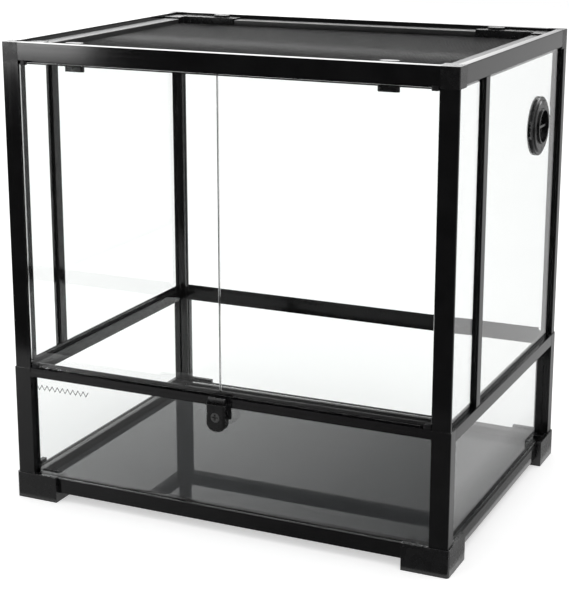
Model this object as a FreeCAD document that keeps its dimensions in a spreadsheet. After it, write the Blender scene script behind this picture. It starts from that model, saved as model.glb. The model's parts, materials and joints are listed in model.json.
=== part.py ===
"""Aluminium and glass terrarium: grooved hollow extrusions on plug-in corner connectors.

Millimetres, +Z up, +X to the right, the doors face -Y. The origin is under the middle of the
object. Places are given as insets from the planes that touch the feet: u from a side plane,
v from the front or the back plane.
"""
import FreeCAD, Part
import math
import os
import re
import Sketcher

SIZES = (
    ("width", 600, "overall, across the feet"),
    ("depth", 450, "overall, across the feet"),
    ("height", 600, "floor to the top of the top rails"),
    ("fit", 0.15, "slip fit of a plug in a hollow section, per side"),
    ("glass_fit", 0.2, "play beside a pane in its groove, per side"),
    ("glass", 4, "thickness of the clear panes"),
    ("wall", 1.5, "wall of the extrusions"),
    ("plug_length", 28, "plugs of the corner connectors"),
    ("lower_inset", 2, "feet to lower posts and middle rails"),
    ("upper_inset", 3, "feet to upper posts and top rails"),
    ("lower_glass_inset", 11.5, "feet to the lower panes"),
    ("upper_glass_inset", 7.5, "feet to the upper panes"),
    ("foot_leg", 60, "length of a foot along each side"),
    ("foot_leg_width", 32, "width of a foot's sole"),
    ("foot_height", 35, "top of the boot"),
    ("foot_base", 12, "floor to the underside of the bottom rails"),
    ("foot_wall", 2.5, "moulded wall of the hollow sole"),
    ("foot_round", 4, "rounding of the boot's upright corner"),
    ("bottom_rail_inset", 6.5, "feet to the bottom rails"),
    ("bottom_rail_width", 18, "bottom rail section"),
    ("bottom_rail_height", 20, "bottom rail section"),
    ("bottom_groove", 6, "depth of the groove for the lower panes"),
    ("floor_ledge_rise", 3, "underside of the bottom rail to its ledge"),
    ("floor_ledge", 2, "thickness of the ledge"),
    ("floor_ledge_width", 6, "bearing of the floor panel"),
    ("floor_glass", 5, "thickness of the floor panel"),
    ("floor_play", 0.5, "floor panel to the corner blocks"),
    ("lower_post_width", 24, "lower post section along the front"),
    ("lower_post_depth", 18, "lower post section along the side"),
    ("post_groove", 6, "depth of the grooves in the lower posts"),
    ("post_round", 2, "rounding of the posts' outer edge"),
    ("mid_height", 180, "top of the middle rails, where the posts meet"),
    ("mid_front_height", 11, "face of the front middle rail"),
    ("mid_side_height", 16, "face of the other middle rails"),
    ("mid_depth", 18, "depth of the middle rails"),
    ("mid_groove", 5, "depth of the groove for the lower panes"),
    ("mid_step", 0.8, "set-back of the front rail's upper band"),
    ("mid_step_height", 5, "height of that band"),
    ("mid_lip", 6, "height of the lip behind the upper panes"),
    ("lip_wall", 2, "thickness of the lips"),
    ("lip_gap", 0.5, "upper pane to lip"),
    ("tongue", 22, "tongues of the middle connectors"),
    ("upper_flange", 4, "front flange of the front upper posts"),
    ("back_post_width", 19, "back upper post section along the back"),
    ("back_post_depth", 14, "back upper post section along the side"),
    ("back_groove", 5, "depth of the grooves in the back upper posts"),
    ("corner_size", 23, "top corner, both ways"),
    ("corner_height", 25, "top corner"),
    ("corner_round", 2, "rounding of the top corner's upright edge"),
    ("top_rail_height", 22, "top rail box section"),
    ("top_lip", 5, "lip below the box, behind the upper panes"),
    ("lid_ledge_drop", 16, "top of the rail to the lid ledge"),
    ("lid_ledge", 3, "thickness of the lid ledge"),
    ("lid_ledge_width", 5, "bearing of the lid"),
    ("mullion_place", 105, "front plane to the middle of a mullion"),
    ("mullion_width", 15, "mullion, along the side"),
    ("mullion_web", 4, "web between two side panes"),
    ("mullion_inner", 2.8, "inner flange of a mullion"),
    ("door_inset", 4.8, "front plane to the door glass"),
    ("door_gap", 2.2, "door glass to the rails above and below"),
    ("door_side_gap", 0.9, "door glass to the post"),
    ("door_seam", 1, "gap between the two leaves"),
    ("pivot_offset", 5, "post to the pivot axis"),
    ("pin_diameter", 3, "door pivot pins"),
    ("pin_length", 4.6, "door pivot pins"),
    ("pin_play", 0.05, "running fit of pins, stems and the lock core, radial"),
    ("bush_wall", 0.65, "hinge bushes"),
    ("bush_length", 5, "hinge bushes"),
    ("clip_thick", 6.4, "pivot clip, across the glass"),
    ("clip_tail", 4, "pivot clip, axis to its outer end"),
    ("clip_reach", 6, "pivot clip, axis to its inner end"),
    ("clip_height", 5.5, "pivot clip"),
    ("clip_gap", 0.3, "pivot clip to rail"),
    ("lock_proud", 10, "lock in front of the feet"),
    ("lock_width", 26, "lock housing"),
    ("lock_height", 35, "lock housing"),
    ("lock_drop", 6, "top of the middle rail to the top of the housing"),
    ("lock_plate_width", 34, "plate behind the housing"),
    ("lock_plate_height", 19, "plate behind the housing"),
    ("lock_plate", 2, "thickness of that plate"),
    ("lock_round", 11.5, "lower corners of the housing"),
    ("lock_edge", 2.2, "bevel of the housing's front edge"),
    ("core_rise", 19, "lower end of the housing to the lock core's axis"),
    ("core_diameter", 12, "lock core"),
    ("core_recess", 0.3, "core behind the housing's face"),
    ("core_tail", 3, "core behind the housing"),
    ("cam_length", 13, "cam, from the core's axis"),
    ("cam_width", 8, "cam"),
    ("cam_thick", 2, "cam"),
    ("key_slot", 2, "width of the crossed keyway"),
    ("key_slot_length", 8, "length of the crossed keyway"),
    ("key_slot_depth", 3, "depth of the keyway"),
    ("slider_width", 20, "lock slider"),
    ("slider_thick", 3, "lock slider"),
    ("slider_front", 5, "housing front to the slider"),
    ("slider_play", 0.35, "slider in its pocket, per side"),
    ("slider_clear", 0.7, "slot of the slider to the lock core"),
    ("slider_leg_rise", 9, "lower end of the housing to the slider's legs"),
    ("roll_diameter", 7, "thumb roll"),
    ("roll_length", 23, "thumb roll"),
    ("roll_gap", 0.5, "housing to the thumb roll"),
    ("port_back", 110, "back plane to the port's axis"),
    ("port_drop", 115, "top of the frame to the port's axis"),
    ("port_hole", 70, "hole in the pane"),
    ("port_flange", 76, "outside of both rings"),
    ("port_outer", 3, "flange of the outer ring on the pane"),
    ("port_step", 67, "raised face of the outer ring"),
    ("port_step_height", 2, "raised face of the outer ring"),
    ("ear_reach", 44, "port's axis to the end of a grip ear"),
    ("ear_root", 28, "grip ear, at the flange"),
    ("ear_tip", 16, "grip ear, at its end"),
    ("ear_count", 2, "grip ears"),
    ("port_inner", 3.5, "inner ring on the pane"),
    ("port_spigot_gap", 0.1, "between the two spigots, to each side of the pane's middle"),
    ("port_bore", 46, "bore of the rings"),
    ("port_seat", 53, "seat of the shutter's rim"),
    ("port_seat_depth", 3, "seat of the shutter's rim"),
    ("port_edge", 1, "bevel of the outer ring"),
    ("shutter_play", 0.3, "shutter to the rings"),
    ("shutter_wall", 2, "cup of the shutter"),
    ("shutter_floor", 1.4, "floor of the shutter"),
    ("shutter_proud", 2.4, "cup beyond the outer ring's face"),
    ("shutter_bar", 3, "finger bar"),
    ("shutter_bar_height", 5, "finger bar, from the shutter's floor"),
    ("shutter_slit", 4, "port's window to the middle bar"),
    ("port_guard", 1.6, "half disc in the inner ring"),
    ("screw_circle", 59, "port screws"),
    ("screw_count", 4, "port screws"),
    ("screw_diameter", 3, "port screws"),
    ("screw_head", 5.5, "port screws"),
    ("screw_head_height", 2, "port screws"),
    ("screw_play", 0.1, "port screws in their holes, radial"),
    ("lid_gap", 0.5, "lid to the top rails"),
    ("lid_rail_width", 24, "lid rail section"),
    ("lid_rail_height", 10.5, "lid rail section"),
    ("lid_corner_length", 105, "lid corner along the front and back"),
    ("lid_corner_side", 40, "lid corner along the sides"),
    ("lid_corner_height", 13, "lid corner"),
    ("lid_plug", 20, "plugs of the lid corners"),
    ("mesh_rise", 2.2, "underside of the lid to the mesh"),
    ("mesh_thick", 0.8, "mesh"),
    ("mesh_groove", 4, "depth of the groove for the mesh"),
    ("mesh_wire", 1.6, "strands of the mesh"),
    ("mesh_columns", 20, "gaps of the mesh along the front"),
    ("mesh_rows", 15, "gaps of the mesh along the side"),
    ("latch_side", 94, "side plane to a latch"),
    ("latch_stem", 7, "latch stem"),
    ("latch_margin", 0.3, "ends of a turned knob to the lid's edges"),
    ("knob_width", 14, "latch knob"),
    ("tab_width", 7, "latch tab"),
    ("tab_height", 7.5, "latch tab"),
    ("tab_gap", 0.5, "lip of the top rail to the tab"),
    ("tab_catch", 0.8, "hold of a turned tab below that lip"),
)

# Driving dimensions

doc = FreeCAD.newDocument("Terrarium")
sheet = doc.addObject("Spreadsheet::Sheet", "Sizes")
for row, (alias, value, note) in enumerate(SIZES, start=1):
    sheet.set("A%d" % row, alias)
    sheet.set("B%d" % row, str(value))
    sheet.set("C%d" % row, note)
    sheet.setAlias("B%d" % row, alias)
doc.recompute()

NAMES = re.compile(r"\b(" + "|".join(alias for alias, value, note in SIZES) + r")\b")

# Middle of the frame, which stands back from the middle of the object by half the lock
MIDDLE_Y = "lock_proud / 2"

# Levels
POST_SEAT = "(foot_base + bottom_rail_height)"
RAIL_BOX = "(height - top_rail_height)"
CORNER_SEAT = "(height - corner_height)"
LID_SEAT = "(height - lid_ledge_drop)"
LID_CORNER_TOP = "(height - lid_ledge_drop + lid_corner_height)"
LOCK_TOP = "(mid_height - lock_drop)"
LOCK_BOTTOM = "(%s - lock_height)" % LOCK_TOP
CORE = "(%s + core_rise)" % LOCK_BOTTOM
PORT_AXIS = "(height - port_drop)"

# Insets from the side, front or back plane
LOWER_INNER_U = "(lower_inset + lower_post_width)"
LOWER_INNER_V = "(lower_inset + lower_post_depth)"
LOWER_GROOVE_A = "(lower_glass_inset - glass_fit)"
LOWER_GROOVE_B = "(lower_glass_inset + glass + glass_fit)"
UPPER_GROOVE_A = "(upper_glass_inset - glass_fit)"
UPPER_GROOVE_B = "(upper_glass_inset + glass + glass_fit)"
UPPER_GLASS_BACK = "(upper_glass_inset + glass)"
LIP_A = "(upper_glass_inset + glass + lip_gap)"
LIP_B = "(upper_glass_inset + glass + lip_gap + lip_wall)"
CORNER_INNER = "(upper_inset + corner_size)"
LID_EDGE = "(%s + lid_gap)" % LIP_B
LID_INNER = "(%s + lid_rail_width)" % LID_EDGE
LATCH_V = "(%s + lid_rail_width / 2)" % LID_EDGE
PIVOT_V = "(door_inset + glass / 2)"
PIVOT_U = "(lower_inset + lower_post_width + pivot_offset)"

parts = []


def left(inset):
    return "(-width / 2 + (%s))" % inset


def right(inset):
    return "(width / 2 - (%s))" % inset


def front(inset):
    return "(-depth / 2 + (%s))" % inset


def back(inset):
    return "(depth / 2 - (%s))" % inset


def linked(text):
    """The expression with each size taken from the sheet."""
    return NAMES.sub(r"Sizes.\1", str(text))


def number(text):
    return float(sheet.evalExpression(linked(text)))


def bind(item, name, text):
    item.setExpression(name, linked(text))


def sub_part(item, name):
    """Marks a document object as a piece of the terrarium."""
    item.Label = name
    parts.append(item)
    return item


# Bodies, sketches and features


def new_body(name, x="0", y="0", z="0"):
    body = doc.addObject("PartDesign::Body", name)
    bind(body, "Placement.Base.x", x)
    bind(body, "Placement.Base.y", "%s + %s" % (MIDDLE_Y, y))
    bind(body, "Placement.Base.z", z)
    return body


def origin_of(body, role):
    return next(item for item in body.Origin.OriginFeatures if item.Role == role)


def new_sketch(body, role, level="0"):
    sketch = body.newObject("Sketcher::SketchObject", body.Name + "_sketch")
    sketch.AttachmentSupport = [(origin_of(body, role), "")]
    sketch.MapMode = "FlatFace"
    bind(sketch, "AttachmentOffset.Base.z", level)
    return sketch


def drive(sketch, kind, where, text):
    """A dimension of the sketch, driven by the sheet."""
    index = sketch.addConstraint(Sketcher.Constraint(kind, *where, number(text)))
    sketch.setExpression("Constraints[%d]" % index, linked(text))


def pin_point(sketch, geometry, point, x, y):
    drive(sketch, "DistanceX", (-1, 1, geometry, point), x)
    drive(sketch, "DistanceY", (-1, 1, geometry, point), y)


def polygon(sketch, corners):
    """A closed outline through corners given as pairs of expressions."""
    first = sketch.GeometryCount
    count = len(corners)
    places = [FreeCAD.Vector(number(x), number(y), 0) for x, y in corners]
    for index in range(count):
        sketch.addGeometry(Part.LineSegment(places[index], places[(index + 1) % count]), False)
    for index in range(count):
        following = first + (index + 1) % count
        sketch.addConstraint(Sketcher.Constraint("Coincident", first + index, 2, following, 1))
    for index, (x, y) in enumerate(corners):
        pin_point(sketch, first + index, 1, x, y)


def rectangle(sketch, x0, y0, x1, y1):
    polygon(sketch, [(x0, y0), (x1, y0), (x1, y1), (x0, y1)])


def circle(sketch, x, y, diameter):
    centre = FreeCAD.Vector(number(x), number(y), 0)
    radius = number("(%s) / 2" % diameter)
    index = sketch.addGeometry(Part.Circle(centre, FreeCAD.Vector(0, 0, 1), radius), False)
    pin_point(sketch, index, 3, x, y)
    drive(sketch, "Diameter", (index,), diameter)


def stadium(sketch, x0, x1, y, width):
    """A slot shape along X from x0 to x1, with round ends."""
    first = sketch.GeometryCount
    radius = number("(%s) / 2" % width)
    end_x = ("(%s) + (%s) / 2" % (x0, width), "(%s) - (%s) / 2" % (x1, width))
    low = FreeCAD.Vector(number(end_x[0]), number(y), 0)
    high = FreeCAD.Vector(number(end_x[1]), number(y), 0)
    up = FreeCAD.Vector(0, radius, 0)
    normal = FreeCAD.Vector(0, 0, 1)
    quarter = math.pi / 2
    sketch.addGeometry(Part.ArcOfCircle(Part.Circle(high, normal, radius), -quarter, quarter), False)
    sketch.addGeometry(Part.LineSegment(high + up, low + up), False)
    sketch.addGeometry(Part.ArcOfCircle(Part.Circle(low, normal, radius), quarter, 3 * quarter), False)
    sketch.addGeometry(Part.LineSegment(low - up, high - up), False)
    for index in range(4):
        following = first + (index + 1) % 4
        sketch.addConstraint(Sketcher.Constraint("Tangent", first + index, 2, following, 1))
    for arc, x in ((first, end_x[1]), (first + 2, end_x[0])):
        pin_point(sketch, arc, 3, x, y)
        drive(sketch, "Radius", (arc,), "(%s) / 2" % width)


def pad(body, sketch, length, symmetric=False, backwards=False):
    feature = body.newObject("PartDesign::Pad", body.Name + "_pad")
    feature.Profile = sketch
    feature.SideType = "Symmetric" if symmetric else "One side"
    feature.Reversed = backwards
    bind(feature, "Length", length)
    doc.recompute()
    return feature


def pocket(body, sketch, depth, backwards=False):
    before = body.Shape.Volume
    feature = body.newObject("PartDesign::Pocket", body.Name + "_pocket")
    feature.Profile = sketch
    feature.Reversed = backwards
    bind(feature, "Length", depth)
    doc.recompute()
    if not body.Shape.Volume < before:
        raise RuntimeError("a pocket of %s cuts nothing" % body.Name)
    return feature


def revolve(body, sketch, role):
    feature = body.newObject("PartDesign::Revolution", body.Name + "_turned")
    feature.Profile = sketch
    feature.ReferenceAxis = (origin_of(body, role), [""])
    feature.Angle = 360
    doc.recompute()
    return feature


def polar(body, feature, role, count):
    pattern = body.newObject("PartDesign::PolarPattern", body.Name + "_circle")
    pattern.Originals = [feature]
    pattern.Axis = (origin_of(body, role), [""])
    pattern.Angle = 360
    bind(pattern, "Occurrences", count)
    body.Tip = pattern
    doc.recompute()
    return pattern


def picked_edges(body, wanted):
    """The last feature of the body and the names of its edges that the test picks by their box."""
    base = body.Tip
    names = []
    for index, edge in enumerate(base.Shape.Edges, start=1):
        if wanted(edge.BoundBox):
            names.append("Edge%d" % index)
    return base, names


def round_edges(body, radius, wanted):
    edges = picked_edges(body, wanted)
    feature = body.newObject("PartDesign::Fillet", body.Name + "_round")
    feature.Base = edges
    bind(feature, "Radius", radius)
    doc.recompute()


def bevel_edges(body, size, wanted):
    edges = picked_edges(body, wanted)
    feature = body.newObject("PartDesign::Chamfer", body.Name + "_bevel")
    feature.Base = edges
    bind(feature, "Size", size)
    doc.recompute()


def near(value, text):
    return abs(value - number(text)) < 1e-4


def upright(box):
    return box.XLength < 1e-4 and box.YLength < 1e-4


# Solids and booleans


def block(name, low, high):
    """A box between two corners given as triples of expressions."""
    item = doc.addObject("Part::Box", name)
    for size, start, end in zip(("Length", "Width", "Height"), low, high):
        bind(item, size, "(%s) - (%s)" % (end, start))
    bind(item, "Placement.Base.x", low[0])
    bind(item, "Placement.Base.y", "%s + %s" % (MIDDLE_Y, low[1]))
    bind(item, "Placement.Base.z", low[2])
    return item


def upright_rod(name, x, y, low, high, diameter):
    item = doc.addObject("Part::Cylinder", name)
    bind(item, "Radius", "(%s) / 2" % diameter)
    bind(item, "Height", "(%s) - (%s)" % (high, low))
    bind(item, "Placement.Base.x", x)
    bind(item, "Placement.Base.y", "%s + %s" % (MIDDLE_Y, y))
    bind(item, "Placement.Base.z", low)
    return item


def cut(name, base, tools):
    doc.recompute()
    before = base.Shape.Volume
    group = doc.addObject("Part::Compound", name + "_tools")
    group.Links = tools
    result = doc.addObject("Part::Cut", name)
    result.Base = base
    result.Tool = group
    doc.recompute()
    if not result.Shape.Volume < before:
        raise RuntimeError("a cut of %s removes nothing" % name)
    return result


def fuse(name, shapes):
    result = doc.addObject("Part::MultiFuse", name)
    result.Shapes = shapes
    result.Refine = True
    return result


def mirrored(source, name, normal):
    """The opposite-hand copy, across the frame's middle plane."""
    copy = doc.addObject("Part::Mirroring", name)
    copy.Source = source
    copy.Normal = normal
    bind(copy, "Base.y", MIDDLE_Y)
    return copy


ACROSS = FreeCAD.Vector(1, 0, 0)
ALONG = FreeCAD.Vector(0, 1, 0)


def both_sides(source, name):
    """The left piece and its copy on the right."""
    sub_part(source, name + "_left")
    sub_part(mirrored(source, name + "_right", ACROSS), name + "_right")


def four_corners(source, name):
    sub_part(source, name + "_front_left")
    opposite = mirrored(source, name + "_front_right", ACROSS)
    sub_part(opposite, name + "_front_right")
    sub_part(mirrored(source, name + "_back_left", ALONG), name + "_back_left")
    sub_part(mirrored(opposite, name + "_back_right", ALONG), name + "_back_right")


def group_of(name, solids):
    group = doc.addObject("Part::Compound", name)
    group.Links = solids
    return sub_part(group, name)


# Base


def make_feet():
    """Moulded boots with a hollow sole and a three-way plug connector inside."""
    foot = new_body("foot")
    wall = "(bottom_rail_inset - fit)"

    def angle(level, leg, width, inset="0"):
        sketch = new_sketch(foot, "XY_Plane", level)
        far = "(%s - %s)" % (leg, inset)
        inner = "(%s - %s)" % (width, inset)
        corners = ((inset, inset), (far, inset), (far, inner), (inner, inner), (inner, far), (inset, far))
        polygon(sketch, [(left(u), front(v)) for u, v in corners])
        return sketch

    def plan(level, u0, v0, u1, v1):
        sketch = new_sketch(foot, "XY_Plane", level)
        rectangle(sketch, left(u0), front(v0), left(u1), front(v1))
        return sketch

    pad(foot, angle("0", "foot_leg", "foot_leg_width"), "foot_base")
    pad(foot, angle("foot_base", "foot_leg", wall), "foot_height - foot_base")
    pad(foot, plan("foot_base", "0", "0", LOWER_INNER_U, LOWER_INNER_U), "bottom_rail_height")
    pocket(foot, angle("0", "foot_leg", "foot_leg_width", "foot_wall"), "foot_base - foot_wall", True)
    seat = "(lower_inset - fit)"
    pocket(foot, plan("foot_height", seat, seat, LOWER_INNER_U, LOWER_INNER_V + " + fit"),
           "foot_height - %s" % POST_SEAT)
    slots = new_sketch(foot, "XY_Plane", POST_SEAT)
    inner_u = "%s - post_groove" % LOWER_INNER_U
    inner_v = "%s - post_groove" % LOWER_INNER_V
    rectangle(slots, left(inner_u), front(LOWER_GROOVE_A), left(LOWER_INNER_U), front(LOWER_GROOVE_B))
    rectangle(slots, left(LOWER_GROOVE_A), front(inner_v), left(LOWER_GROOVE_B), front(LOWER_INNER_U))
    pocket(foot, slots, "bottom_groove")
    chamber = lower_post_chamber("fit")
    pad(foot, plan(POST_SEAT, *chamber), "plug_length")
    rail_a = "bottom_rail_inset + wall + fit"
    rail_b = "bottom_rail_inset + bottom_rail_width - wall - fit"
    rail_end = "%s + plug_length" % LOWER_INNER_U
    plug_low = "foot_base + wall + fit"
    plug_rise = "bottom_rail_height - bottom_groove - 2 * wall - 2 * fit"
    pad(foot, plan(plug_low, LOWER_INNER_U, rail_a, rail_end, rail_b), plug_rise)
    pad(foot, plan(plug_low, rail_a, LOWER_INNER_U, rail_b, rail_end), plug_rise)
    round_edges(foot, "foot_round", lambda box: upright(box) and near(box.XMin, left("0"))
                and near(box.YMin, front("0")))
    four_corners(foot, "foot")


def bottom_rail_section(body, role, place, ledge):
    """Box with a groove on top for a lower pane and, on the long sides, a ledge for the floor."""
    sketch = new_sketch(body, role)
    low = "foot_base"
    high = POST_SEAT
    outer = "bottom_rail_inset"
    inner = "(bottom_rail_inset + bottom_rail_width)"
    floor = "(%s - bottom_groove)" % high
    outline = [(outer, low), (inner, low)]
    if ledge:
        tip = "%s + floor_ledge_width" % inner
        under = "foot_base + floor_ledge_rise"
        outline += [(inner, under), (tip, under), (tip, under + " + floor_ledge"),
                    (inner, under + " + floor_ledge")]
    outline += [(inner, high), (LOWER_GROOVE_B, high), (LOWER_GROOVE_B, floor),
                (LOWER_GROOVE_A, floor), (LOWER_GROOVE_A, high), (outer, high)]
    polygon(sketch, [(place(u), z) for u, z in outline])
    rectangle(sketch, place(outer + " + wall"), low + " + wall", place(inner + " - wall"), floor + " - wall")
    return sketch


def make_bottom_rails():
    along_x = new_body("bottom_rail_front")
    section = bottom_rail_section(along_x, "YZ_Plane", front, True)
    pad(along_x, section, "width - 2 * %s" % LOWER_INNER_U, symmetric=True)
    sub_part(along_x, "bottom_rail_front")
    sub_part(mirrored(along_x, "bottom_rail_back", ALONG), "bottom_rail_back")
    along_y = new_body("bottom_rail_left")
    section = bottom_rail_section(along_y, "XZ_Plane", left, False)
    pad(along_y, section, "depth - 2 * %s" % LOWER_INNER_U, symmetric=True)
    both_sides(along_y, "bottom_rail")


def lower_post_chamber(play):
    """Hollow of the lower posts as insets u0, v0, u1, v1, drawn in by the play."""
    low = "lower_inset + wall + %s" % play
    return (low, low, "%s - post_groove - wall - %s" % (LOWER_INNER_U, play),
            "%s - post_groove - wall - %s" % (LOWER_INNER_V, play))


def mid_chamber(height, play):
    """Outer hollow of the middle rails as insets and levels, drawn in by the play."""
    return ("lower_inset + mid_step + wall + %s" % play, "mid_height - %s + wall + %s" % (height, play),
            "%s - wall - %s" % (LOWER_GROOVE_A, play), "mid_height - wall - %s" % play)


def round_outer_edge(post, inset, place):
    corner = number(place(inset))
    round_edges(post, "post_round", lambda box: upright(box) and near(box.XMin, left(inset))
                and abs(box.YMin - corner) < 1e-4)


def make_lower_posts():
    """Box section with two pane grooves, and windows for the middle connectors at the top."""
    post = new_body("lower_post_section")
    sketch = new_sketch(post, "XY_Plane", POST_SEAT)
    inner_u = "(%s - post_groove)" % LOWER_INNER_U
    inner_v = "(%s - post_groove)" % LOWER_INNER_V
    outline = (("lower_inset", "lower_inset"), (LOWER_INNER_U, "lower_inset"),
               (LOWER_INNER_U, LOWER_GROOVE_A), (inner_u, LOWER_GROOVE_A),
               (inner_u, LOWER_GROOVE_B), (LOWER_INNER_U, LOWER_GROOVE_B),
               (LOWER_INNER_U, LOWER_INNER_V), (LOWER_GROOVE_B, LOWER_INNER_V),
               (LOWER_GROOVE_B, inner_v), (LOWER_GROOVE_A, inner_v),
               (LOWER_GROOVE_A, LOWER_INNER_V), ("lower_inset", LOWER_INNER_V))
    polygon(sketch, [(left(u), front(v)) for u, v in outline])
    u0, v0, u1, v1 = lower_post_chamber("0")
    rectangle(sketch, left(u0), front(v0), left(u1), front(v1))
    pad(post, sketch, "mid_height - %s" % POST_SEAT)
    round_outer_edge(post, "lower_inset", front)
    for end, height in (("front", "mid_front_height"), ("back", "mid_side_height")):
        a0, z0, a1, z1 = mid_chamber(height, "0")
        b0, y0, b1, y1 = mid_chamber("mid_side_height", "0")
        into_front = block("window_x", (left(u1), front(a0), z0), (left(LOWER_INNER_U), front(a1), z1))
        into_side = block("window_y", (left(b0), front(v1), y0), (left(b1), front(LOWER_INNER_V), y1))
        piece = cut("lower_post_" + end, post, [into_front, into_side])
        if end == "front":
            both_sides(piece, "lower_post_front")
        else:
            turned = mirrored(piece, "lower_post_back_turned", ALONG)
            both_sides(turned, "lower_post_back")


def make_floor_and_lower_panes():
    ledge = "foot_base + floor_ledge_rise + floor_ledge"
    inset = "(%s + floor_play)" % LOWER_INNER_U
    sub_part(block("floor_panel", (left(inset), front(inset), ledge),
                   (right(inset), back(inset), ledge + " + floor_glass")), "floor_panel")
    low = "%s - bottom_groove + glass_fit" % POST_SEAT
    rear = "lower_glass_inset + glass"
    end_u = "(%s - post_groove + glass_fit)" % LOWER_INNER_U
    end_v = "(%s - post_groove + glass_fit)" % LOWER_INNER_V
    top_front = "mid_height - mid_front_height + mid_groove - glass_fit"
    top_side = "mid_height - mid_side_height + mid_groove - glass_fit"
    sub_part(block("lower_glass_front", (left(end_u), front("lower_glass_inset"), low),
                   (right(end_u), front(rear), top_front)), "lower_glass_front")
    sub_part(block("lower_glass_back", (left(end_u), back(rear), low),
                   (right(end_u), back("lower_glass_inset"), top_side)), "lower_glass_back")
    both_sides(block("lower_glass_left", (left("lower_glass_inset"), front(end_v), low),
                     (left(rear), back(end_v), top_side)), "lower_glass")


# Middle frame


def mid_rail_section(body, role, place, height, stepped):
    """Two hollows, a groove below for a lower pane and a lip on top behind the upper pane."""
    sketch = new_sketch(body, role)
    low = "(mid_height - %s)" % height
    groove = "(%s + mid_groove)" % low
    inner = "(lower_inset + mid_depth)"
    tip = "mid_height + mid_lip"
    outline = [("lower_inset", low), (LOWER_GROOVE_A, low), (LOWER_GROOVE_A, groove),
               (LOWER_GROOVE_B, groove), (LOWER_GROOVE_B, low), (inner, low), (inner, "mid_height"),
               (LIP_B, "mid_height"), (LIP_B, tip), (LIP_A, tip), (LIP_A, "mid_height")]
    if stepped:
        band = "mid_height - mid_step_height"
        outline += [("lower_inset + mid_step", "mid_height"), ("lower_inset + mid_step", band),
                    ("lower_inset", band)]
    else:
        outline.append(("lower_inset", "mid_height"))
    polygon(sketch, [(place(u), z) for u, z in outline])
    a0, z0, a1, z1 = mid_chamber(height, "0")
    rectangle(sketch, place(a0), z0, place(a1), z1)
    rectangle(sketch, place(LOWER_GROOVE_A), groove + " + wall", place(inner + " - wall"), z1)
    return sketch


def pivot_holes(low, high):
    diameter = "pin_diameter + 2 * pin_play + 2 * bush_wall + 2 * pin_play"
    return [upright_rod("pivot_hole", place(PIVOT_U), front(PIVOT_V), low, high, diameter)
            for place in (left, right)]


def make_mid_rails():
    span_x = "width - 2 * %s" % LOWER_INNER_U
    blank = new_body("mid_rail_front_section")
    pad(blank, mid_rail_section(blank, "YZ_Plane", front, "mid_front_height", True), span_x, symmetric=True)
    tools = pivot_holes("mid_height - wall", "mid_height")
    sub_part(cut("mid_rail_front", blank, tools), "mid_rail_front")
    rear = new_body("mid_rail_back")
    pad(rear, mid_rail_section(rear, "YZ_Plane", back, "mid_side_height", False), span_x, symmetric=True)
    sub_part(rear, "mid_rail_back")
    side = new_body("mid_rail_left")
    section = mid_rail_section(side, "XZ_Plane", left, "mid_side_height", False)
    pad(side, section, "depth - 2 * %s" % LOWER_INNER_V, symmetric=True)
    both_sides(side, "mid_rail")


def make_mid_joints():
    """Hidden connectors: a plug down, a plug up and a tongue into each middle rail."""
    solids = []
    lower = lower_post_chamber("fit")
    tongue_u = "%s + tongue" % LOWER_INNER_U
    tongue_v = "%s + tongue" % LOWER_INNER_V
    ends = (("front", front_post_chamber("fit"), "mid_front_height"),
            ("back", back_post_chamber("fit"), "mid_side_height"))
    for end, upper, height in ends:
        a0, z0, a1, z1 = mid_chamber(height, "fit")
        b0, y0, b1, y1 = mid_chamber("mid_side_height", "fit")
        stem = block("joint_stem", (left(lower[0]), front(lower[1]), "mid_height - plug_length"),
                     (left(lower[2]), front(lower[3]), "mid_height"))
        top = block("joint_top", (left(upper[0]), front(upper[1]), "mid_height"),
                    (left(upper[2]), front(upper[3]), "mid_height + plug_length"))
        if end == "front":
            z1 = "mid_height - bush_length - fit"
        arm_x = block("joint_arm_x", (left(lower[2]), front(a0), z0), (left(tongue_u), front(a1), z1))
        arm_y = block("joint_arm_y", (left(b0), front(lower[3]), y0), (left(b1), front(tongue_v), y1))
        joint = fuse("mid_joint_" + end, [stem, top, arm_x, arm_y])
        if end == "back":
            joint = mirrored(joint, "mid_joint_back_turned", ALONG)
        solids += [joint, mirrored(joint, "mid_joint_opposite", ACROSS)]
    group_of("mid_joints", solids)


# Upper frame


def front_post_chamber(play):
    low_u = "%s + wall + %s" % (UPPER_GLASS_BACK, play)
    return (low_u, "upper_inset + wall + %s" % play, "%s - wall - %s" % (LOWER_INNER_U, play),
            "%s - wall - %s" % (LOWER_INNER_V, play))


def back_post_chamber(play):
    low = "upper_inset + wall + %s" % play
    return (low, low, "upper_inset + back_post_width - back_groove - wall - %s" % play,
            "upper_inset + back_post_depth - back_groove - wall - %s" % play)


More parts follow.
